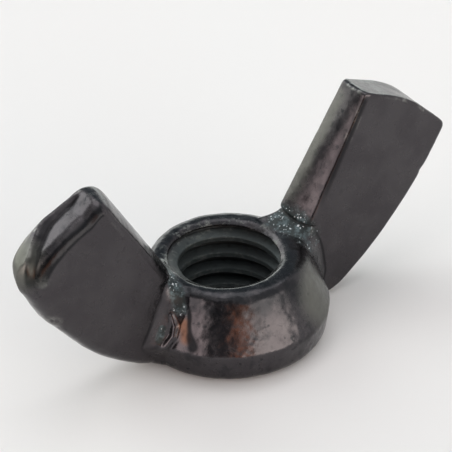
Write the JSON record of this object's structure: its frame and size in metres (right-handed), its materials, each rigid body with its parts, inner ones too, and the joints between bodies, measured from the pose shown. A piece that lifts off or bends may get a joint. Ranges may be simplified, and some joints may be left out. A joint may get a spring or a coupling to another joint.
{
  "type": "wing nut",
  "caption": "Threaded hub with a conical collar and two thick upswept finger wings, turned by hand to clamp parts on a stud or bolt.",
  "frame": {"origin": "thread axis at the seat face, where the nut bears on the clamped part", "axes": "+Z along the thread axis from the seat face towards the wing tips; +X along the wings, towards the wing that is on the right with the seat face down; Y across the flat sides of the wings"},
  "size_m": [0.033, 0.0134, 0.0145],
  "materials": {
    "hub": "black-brown oxide, semi-gloss",
    "left_wing": "black-brown oxide, semi-gloss",
    "right_wing": "black-brown oxide, semi-gloss"
  },
  "bodies": {
    "root": {"hub": "hub", "left_wing": "left_wing", "right_wing": "right_wing"}
  },
  "joints": []
}
